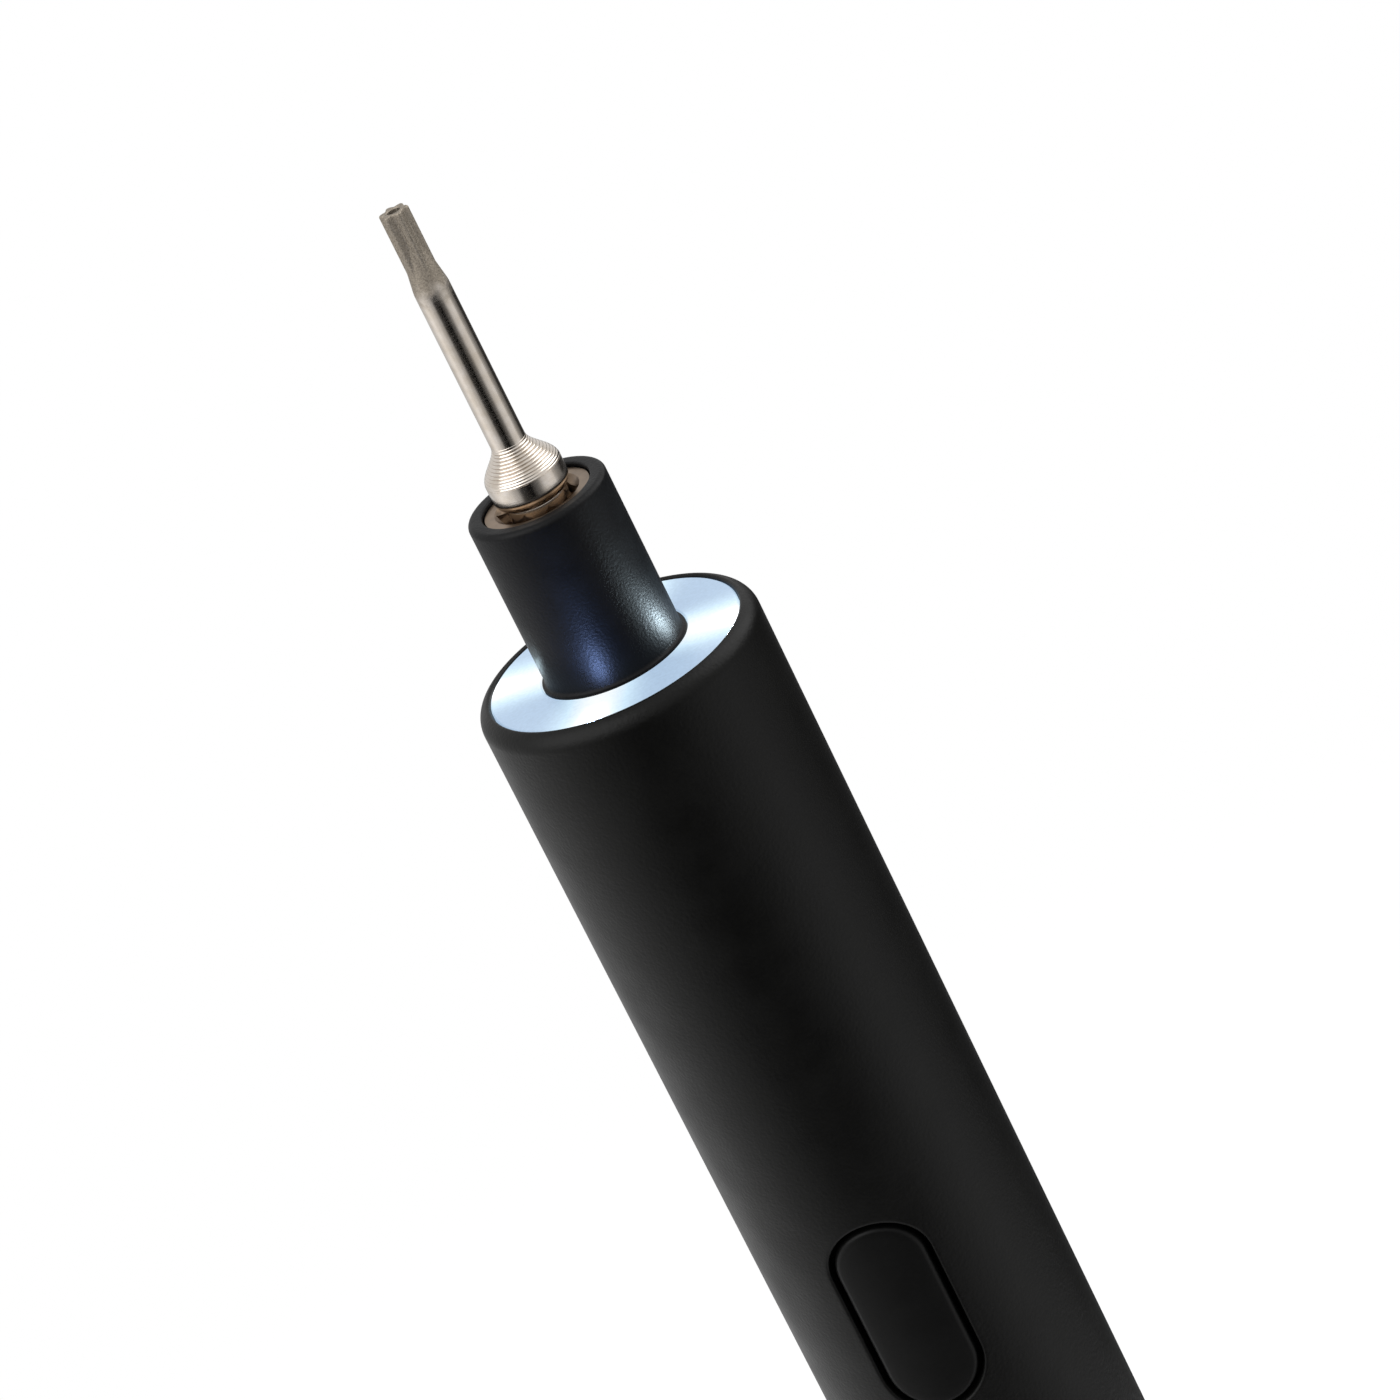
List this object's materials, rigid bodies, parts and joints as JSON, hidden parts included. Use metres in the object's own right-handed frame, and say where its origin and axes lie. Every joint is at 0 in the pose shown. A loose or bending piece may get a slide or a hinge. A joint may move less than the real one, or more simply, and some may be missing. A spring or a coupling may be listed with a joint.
{
  "type": "electric torque screwdriver",
  "caption": "Pen-shaped cordless electric screwdriver with a lit ring round a narrow nose, a rocker button, a magnetic hexagonal bit socket and a six-lobed bit.",
  "frame": {"origin": "centre of the flat tail face, on the tool's axis", "axes": "+Z along the tool's axis towards the bit, -Y through the middle of the rocker button"},
  "size_m": [0.016, 0.016, 0.159],
  "materials": {
    "black_anodised": "fine bead-blasted black anodising",
    "sleeve_black": "satin black anodising with fine sparkle",
    "button_black": "matte black",
    "frosted_light": "frosted, lit from behind",
    "seal_rubber": "smooth",
    "bronze": "sintered",
    "nickel_steel": "warm nickel plate",
    "bearing_steel": "ground and polished",
    "gear_steel": "sintered steel",
    "gear_plastic": "natural acetal",
    "gear_brass": "machined",
    "machined_aluminium": "machined",
    "magnet": "nickel plated",
    "ferrite": "sintered",
    "motor_steel": "drawn, zinc plated",
    "copper": "enamelled copper",
    "contact_metal": "plated",
    "cream_plastic": "moulded",
    "dark_screw": "black zinc",
    "chassis_plastic": "moulded",
    "circuit_board": "solder mask",
    "chip_black": "moulded epoxy",
    "led_phosphor": "clear over phosphor",
    "switch_metal": "stamped",
    "cell_wrap": "shrink wrap",
    "port_steel": "stamped"
  },
  "bodies": {
    "housing": {"body_tube": "black_anodised", "end_cap": "black_anodised", "cap_o_ring": "seal_rubber", "nose_sleeve": "sleeve_black", "front_bush": "bronze", "light_ring": "frosted_light", "led_board": "circuit_board", "leds": "led_phosphor", "bearing_plate": "machined_aluminium", "bearing_outer_race": "bearing_steel", "gearbox_case": "gear_steel", "motor_plate": "machined_aluminium", "motor_plate_screws": "dark_screw", "motor_can": "motor_steel", "motor_magnets": "ferrite", "motor_bushes": "bronze", "motor_brushes": "contact_metal", "motor_end_bell": "cream_plastic", "motor_terminals": "contact_metal", "chassis_upper": "chassis_plastic", "chassis_lower": "chassis_plastic", "chassis_screws": "dark_screw", "main_board": "circuit_board", "board_chips": "chip_black", "switch_bodies": "switch_metal", "rocker_pin": "bearing_steel", "battery_cell": "cell_wrap", "battery_tabs": "contact_metal", "charge_board": "circuit_board", "charge_chips": "chip_black", "usb_receptacle": "port_steel", "usb_tongue": "chassis_plastic"},
    "spindle": {"spindle": "nickel_steel", "socket_magnet": "magnet", "bearing_inner_race": "bearing_steel", "second_carrier": "gear_steel", "second_pins": "bearing_steel"},
    "bit": {"bit": "nickel_steel"},
    "ball_set": {"bearing_balls": "bearing_steel", "bearing_cage": "bronze"},
    "second_planet_a": {"second_planet_a": "gear_steel"},
    "second_planet_b": {"second_planet_b": "gear_steel"},
    "second_planet_c": {"second_planet_c": "gear_steel"},
    "first_carrier": {"first_carrier": "gear_steel", "first_pins": "bearing_steel"},
    "first_planet_a": {"first_planet_a": "gear_plastic"},
    "first_planet_b": {"first_planet_b": "gear_plastic"},
    "first_planet_c": {"first_planet_c": "gear_plastic"},
    "rotor": {"motor_shaft": "bearing_steel", "motor_pinion": "gear_brass", "armature_core": "motor_steel", "armature_windings": "copper", "commutator": "copper"},
    "rocker": {"rocker_button": "button_black"},
    "plunger_front": {"switch_plunger_front": "chassis_plastic"},
    "plunger_rear": {"switch_plunger_rear": "chassis_plastic"}
  },
  "joints": [
    {"name": "spindle_spin", "type": "hinge", "parent": "housing", "child": "spindle", "pos_m": [0, 0, 0.132], "axis": [0, 0, 1], "continuous": true},
    {"name": "bit_slide", "type": "slide", "parent": "spindle", "child": "bit", "axis": [0, 0, 1], "range_m": [0, 0.012]},
    {"name": "ball_set_spin", "type": "hinge", "parent": "housing", "child": "ball_set", "pos_m": [0, 0, 0.12625], "axis": [0, 0, 1], "continuous": true},
    {"name": "first_carrier_spin", "type": "hinge", "parent": "housing", "child": "first_carrier", "pos_m": [0, 0, 0.12], "axis": [0, 0, 1], "continuous": true},
    {"name": "rotor_spin", "type": "hinge", "parent": "housing", "child": "rotor", "pos_m": [0, 0, 0.112], "axis": [0, 0, 1], "continuous": true},
    {"name": "second_planet_a_spin", "type": "hinge", "parent": "spindle", "child": "second_planet_a", "pos_m": [0.0036, 0, 0.122], "axis": [0, 0, 1], "continuous": true},
    {"name": "first_planet_a_spin", "type": "hinge", "parent": "first_carrier", "child": "first_planet_a", "pos_m": [0.0036, 0, 0.1184], "axis": [0, 0, 1], "continuous": true},
    {"name": "second_planet_b_spin", "type": "hinge", "parent": "spindle", "child": "second_planet_b", "pos_m": [-0.0018, 0.00312, 0.122], "axis": [0, 0, 1], "continuous": true},
    {"name": "first_planet_b_spin", "type": "hinge", "parent": "first_carrier", "child": "first_planet_b", "pos_m": [-0.0018, 0.00312, 0.1184], "axis": [0, 0, 1], "continuous": true},
    {"name": "second_planet_c_spin", "type": "hinge", "parent": "spindle", "child": "second_planet_c", "pos_m": [-0.0018, -0.00312, 0.122], "axis": [0, 0, 1], "continuous": true},
    {"name": "first_planet_c_spin", "type": "hinge", "parent": "first_carrier", "child": "first_planet_c", "pos_m": [-0.0018, -0.00312, 0.1184], "axis": [0, 0, 1], "continuous": true},
    {"name": "rocker_tilt", "type": "hinge", "parent": "housing", "child": "rocker", "pos_m": [0, -0.0055, 0.09267], "axis": [1, 0, 0], "range_deg": [-2.5, 2.5], "stiffness_Nm_per_rad": 0.1},
    {"name": "plunger_front_press", "type": "slide", "parent": "housing", "child": "plunger_front", "axis": [0, 1, 0], "range_m": [0, 0.0002], "stiffness_N_per_m": 2000},
    {"name": "plunger_rear_press", "type": "slide", "parent": "housing", "child": "plunger_rear", "axis": [0, 1, 0], "range_m": [0, 0.0002], "stiffness_N_per_m": 2000}
  ],
  "couplings": [
    {"joint": "ball_set_spin", "follows": "spindle_spin", "ratio": 0.42308},
    {"joint": "first_carrier_spin", "follows": "spindle_spin", "ratio": 4},
    {"joint": "rotor_spin", "follows": "spindle_spin", "ratio": 16},
    {"joint": "second_planet_a_spin", "follows": "spindle_spin", "ratio": -3},
    {"joint": "first_planet_a_spin", "follows": "spindle_spin", "ratio": -12},
    {"joint": "second_planet_b_spin", "follows": "spindle_spin", "ratio": -3},
    {"joint": "first_planet_b_spin", "follows": "spindle_spin", "ratio": -12},
    {"joint": "second_planet_c_spin", "follows": "spindle_spin", "ratio": -3},
    {"joint": "first_planet_c_spin", "follows": "spindle_spin", "ratio": -12}
  ]
}
